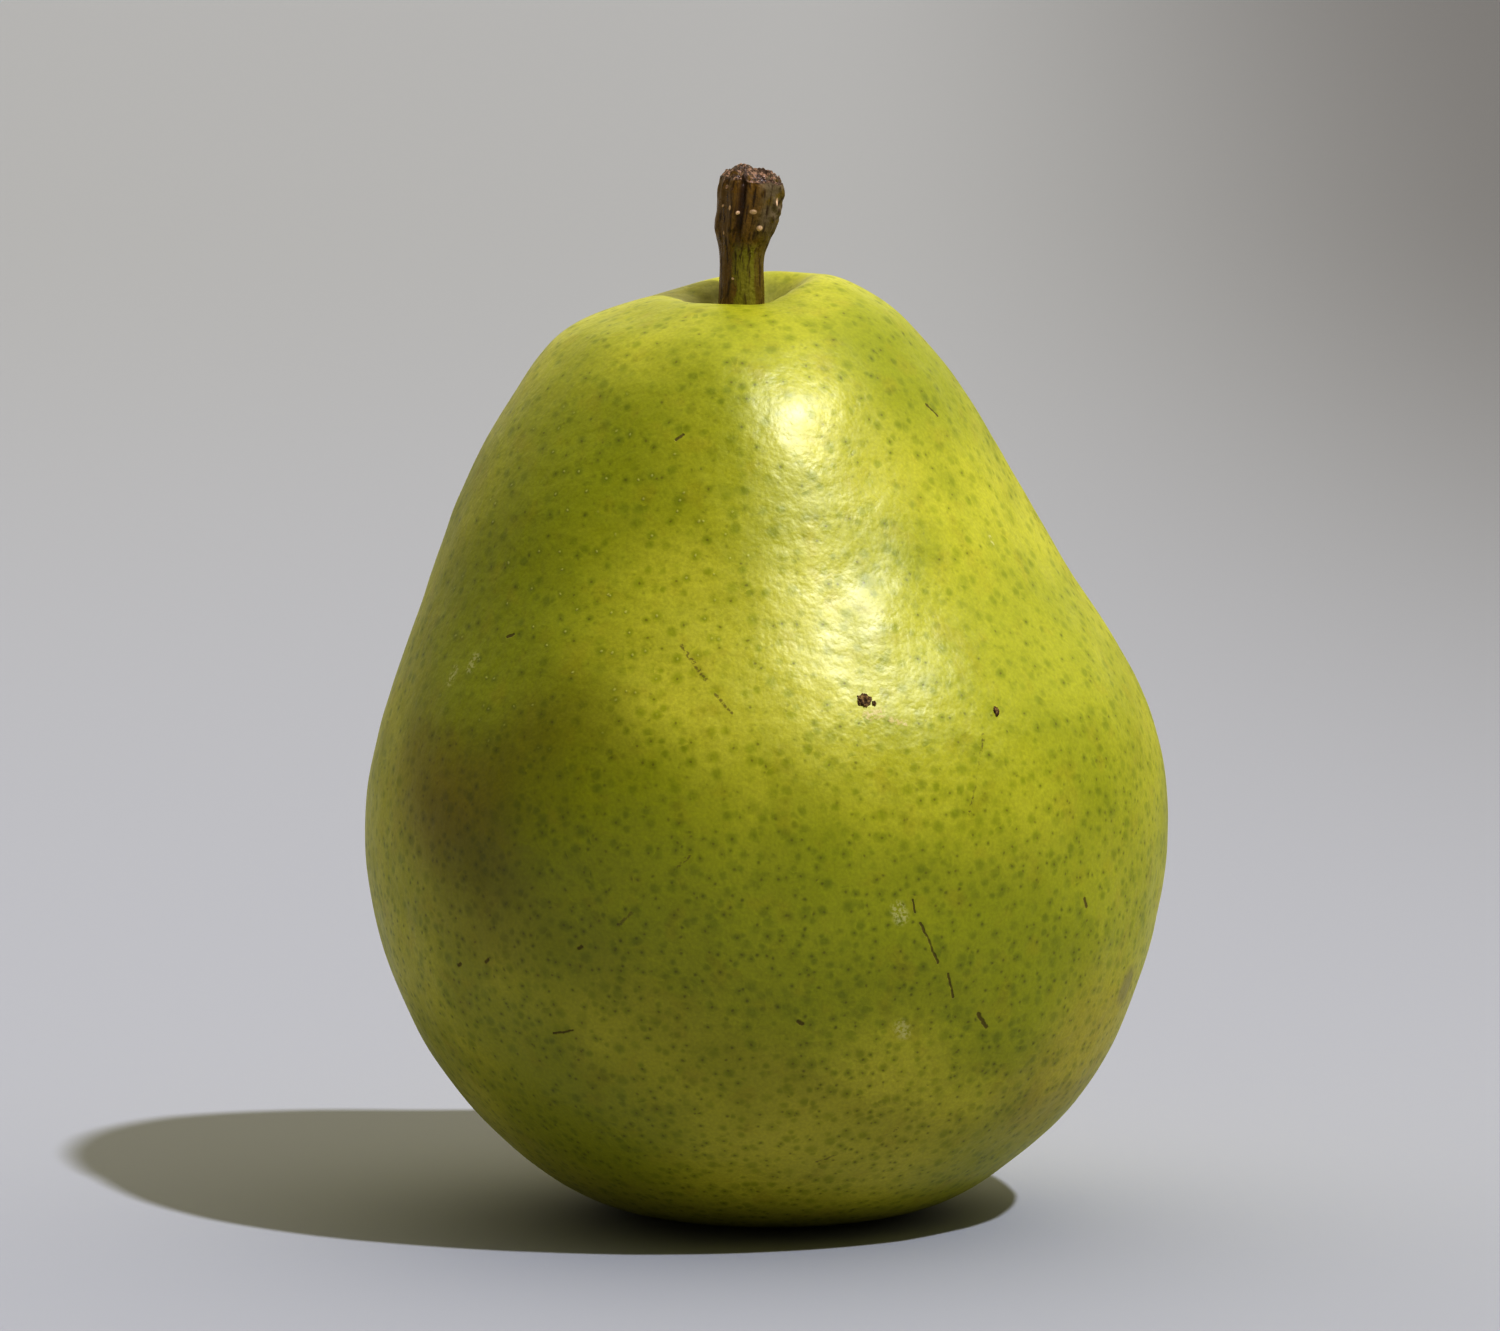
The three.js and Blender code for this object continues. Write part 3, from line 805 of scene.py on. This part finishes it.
STYLES = 5
FILAMENTS = 14
THREAD_ROOT = 7.88  # mm, the height that the styles and the filaments hang from
THREAD_RADIUS = 0.085
THREAD_STEPS = 7
ANTHER_RADIUS = 0.17
chance = random.Random(7)
tuft = bmesh.new()
for number in range(STYLES + FILAMENTS):
    is_style = number < STYLES
    bearing = number * 2.4 + chance.uniform(-0.3, 0.3)
    start = chance.uniform(0.12, 0.25) if is_style else chance.uniform(0.42, 0.66)
    end = chance.uniform(0.1, 0.4) if is_style else chance.uniform(0.75, 1.15)
    low = chance.uniform(3.9, 5.2)
    lean = chance.uniform(-0.5, 0.5)
    ring = bmesh.ops.create_circle(tuft, segments=7, radius=THREAD_RADIUS * MM, cap_ends=True)["verts"]
    centre = Vector((start * math.cos(bearing), start * math.sin(bearing), THREAD_ROOT))
    bmesh.ops.translate(tuft, verts=ring, vec=centre * MM)
    tip = next(f for f in tuft.faces if f.verts[0] in ring and all(v in ring for v in f.verts))
    for step in range(1, THREAD_STEPS + 1):
        share = step / THREAD_STEPS
        reach = start + (end - start) * share**2
        swing = bearing + lean * share**2
        drop = (THREAD_ROOT - low) * share
        goal = Vector((reach * math.cos(swing), reach * math.sin(swing), THREAD_ROOT - drop))
        grown = bmesh.ops.extrude_face_region(tuft, geom=[tip])["geom"]
        bmesh.ops.delete(tuft, geom=[tip], context="FACES_ONLY")
        tip = next(item for item in grown if isinstance(item, bmesh.types.BMFace))
        bmesh.ops.translate(tuft, verts=tip.verts, vec=(goal - centre) * MM)
        bmesh.ops.scale(
            tuft, verts=tip.verts, vec=(0.93, 0.93, 1), space=Matrix.Translation(-goal * MM)
        )
        centre = goal
    if not is_style:
        anther = bmesh.ops.create_icosphere(tuft, subdivisions=2, radius=ANTHER_RADIUS * MM)["verts"]
        bmesh.ops.scale(tuft, verts=anther, vec=(1, 0.75, 1.3))
        bmesh.ops.rotate(tuft, verts=anther, matrix=Matrix.Rotation(chance.uniform(-0.8, 0.8), 3, "X"))
        bmesh.ops.translate(tuft, verts=anther, vec=(centre - Vector((0, 0, 0.1))) * MM)
bmesh.ops.recalc_face_normals(tuft, faces=tuft.faces)
tuft.transform(Matrix.Translation((*EYE_CENTRE, 0)))
stamens = finished("withered_stamens", tuft, calyx_material)
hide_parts("stamens")
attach(stamens, "root")

# Papery and matt, streaked along its length, and paler where the edges have worn.
CALYX_DARK = linear("#4a3822")
CALYX_LIGHT = linear("#7d6440")
VEIN_SPACING = 0.28  # mm
calyx_mm = add(calyx, "VectorMath", add(calyx, "TexCoord").outputs["Object"], 1 / MM, operation="SCALE")
veins_place = add(calyx, "VectorMath", calyx_mm, (1, 1, 0.25), operation="MULTIPLY")
veins = add(calyx, "TexNoise", named={"Vector": veins_place, "Scale": 1 / VEIN_SPACING, "Detail": 3.0})
vein_share = add(calyx, "MapRange", veins, 0.42, 0.62, 0, 1)
calyx_colour = add(calyx, "Mix", vein_share, CALYX_DARK, CALYX_LIGHT, data_type="RGBA")
calyx.links.new(calyx_colour.outputs[2], calyx_shader.inputs["Base Color"])
vein_relief = add(calyx, "Bump", named={"Strength": 1.0, "Distance": 0.1 * MM, "Height": veins})
calyx.links.new(vein_relief.outputs[0], calyx_shader.inputs["Normal"])
calyx_shader.inputs["Roughness"].default_value = 0.8


# ---- Stage: standing surface, light and camera ----
# A pale seamless surface, turned up far away at its rim, with one hard, sun-like lamp from the front right
# that throws a crisp shadow, and a weak warm light from above and behind. The surface isn't quite plain:
# it carries painted shade, a little darker far back and darker still far off to the right, and it throws
# its own colour back on the fruit.

paper_material, paper, paper_shader = new_material("pale_seamless_paper")
FLAT_RADIUS = 3.0
CURVE_RADIUS = 0.8
sweep = bmesh.new()
edge = [sweep.verts.new((0, 0, 0)), sweep.verts.new((FLAT_RADIUS, 0, 0))]
sweep.edges.new(edge)
curve_centre = (FLAT_RADIUS, 0, CURVE_RADIUS)
bmesh.ops.spin(
    sweep, geom=edge[1:], cent=curve_centre, axis=(0, -1, 0), angle=math.radians(60), steps=12
)
whole = sweep.verts[:] + sweep.edges[:]
bmesh.ops.spin(
    sweep, geom=whole, cent=(0, 0, 0), axis=(0, 0, 1), angle=math.tau, steps=64, use_merge=True
)
bmesh.ops.remove_doubles(sweep, verts=sweep.verts, dist=1e-5)
bmesh.ops.recalc_face_normals(sweep, faces=sweep.faces)
floor = finished("stage_sweep", sweep, paper_material)

PAPER = linear("#adb0b3")
FAR_PAINTED_SHADE_PAPER = linear("#a6a8a6")
PAINTED_SHADE_PAPER = linear("#7f7f7c")  # painted shade far off to the right, not one that the lamp makes
BOUNCE = linear("#b2af9e")  # the colour that bounced light sees in place of the paper's own
paper_axes = add(paper, "SeparateXYZ", add(paper, "TexCoord").outputs["Object"])
# Painted shade: the paper grows darker towards the back, and darker still far off to the right.
far = add(paper, "MapRange", paper_axes.outputs["Y"], 0.0, 1.0, 0, 1, interpolation_type="SMOOTHSTEP")
right_shade = add(paper, "MapRange", paper_axes.outputs["X"], 0.0, 0.15, 0, far, interpolation_type="SMOOTHSTEP")
paper_colour = add(paper, "Mix", far, PAPER, FAR_PAINTED_SHADE_PAPER, data_type="RGBA")
paper_colour = add(paper, "Mix", right_shade, paper_colour, PAINTED_SHADE_PAPER, data_type="RGBA")
rays = add(paper, "LightPath")
paper_colour = add(paper, "Mix", rays.outputs["Is Diffuse Ray"], paper_colour, BOUNCE, data_type="RGBA")
paper.links.new(paper_colour.outputs[2], paper_shader.inputs["Base Color"])
paper_shader.inputs["Roughness"].default_value = 0.9
paper_shader.inputs["Specular IOR Level"].default_value = 0.1

world = bpy.data.worlds.new("studio")
world.use_nodes = True
sky = world.node_tree
SOFT_SIDE = Vector((0.1, 0.7, 0.7)).normalized()  # where the weak light comes from
WARM_WHITE = linear("#fff7e2")
direction = add(sky, "TexCoord").outputs["Generated"]
facing = add(sky, "VectorMath", direction, SOFT_SIDE, operation="DOT_PRODUCT")
strength = add(sky, "MapRange", facing, -0.2, 1.0, 0.08, 1.3, interpolation_type="SMOOTHSTEP")
sky.nodes["Background"].inputs["Color"].default_value = WARM_WHITE
sky.links.new(strength.outputs[0], sky.nodes["Background"].inputs["Strength"])
bpy.context.scene.world = world

COOL_WHITE = linear("#ebebff")
lamp = bpy.data.lights.new("key", "SUN")
lamp.angle = math.radians(2.0)
lamp.energy = 3.55
lamp.color = COOL_WHITE[:3]
key = bpy.data.objects.new("key", lamp)
bpy.context.scene.collection.objects.link(key)
to_lamp = Vector((0.56, -0.45, 1.0)).normalized()
key.location = Vector((0, 0, 0.05)) + to_lamp * 1.3
key.rotation_euler = to_lamp.to_track_quat("Z", "Y").to_euler()

MIDDLE = Vector((0, 0, 0.047))
AIM = Vector((-0.0017, 0.0011, 0.05485))
DISTANCE = 1.5
ELEVATION = math.radians(8.0)
camera_data = bpy.data.cameras.new("camera")
camera_data.lens = 360.7
camera = bpy.data.objects.new("camera", camera_data)
bpy.context.scene.collection.objects.link(camera)
camera.location = MIDDLE + DISTANCE * Vector((0, -math.cos(ELEVATION), math.sin(ELEVATION)))
camera.rotation_euler = (camera.location - AIM).to_track_quat("Z", "Y").to_euler()
bpy.context.scene.camera = camera
view = bpy.context.scene.view_settings
view.view_transform = "Standard"
view.gamma = 0.65  # below 1, for the deeper contrast of hard light on a pale surface
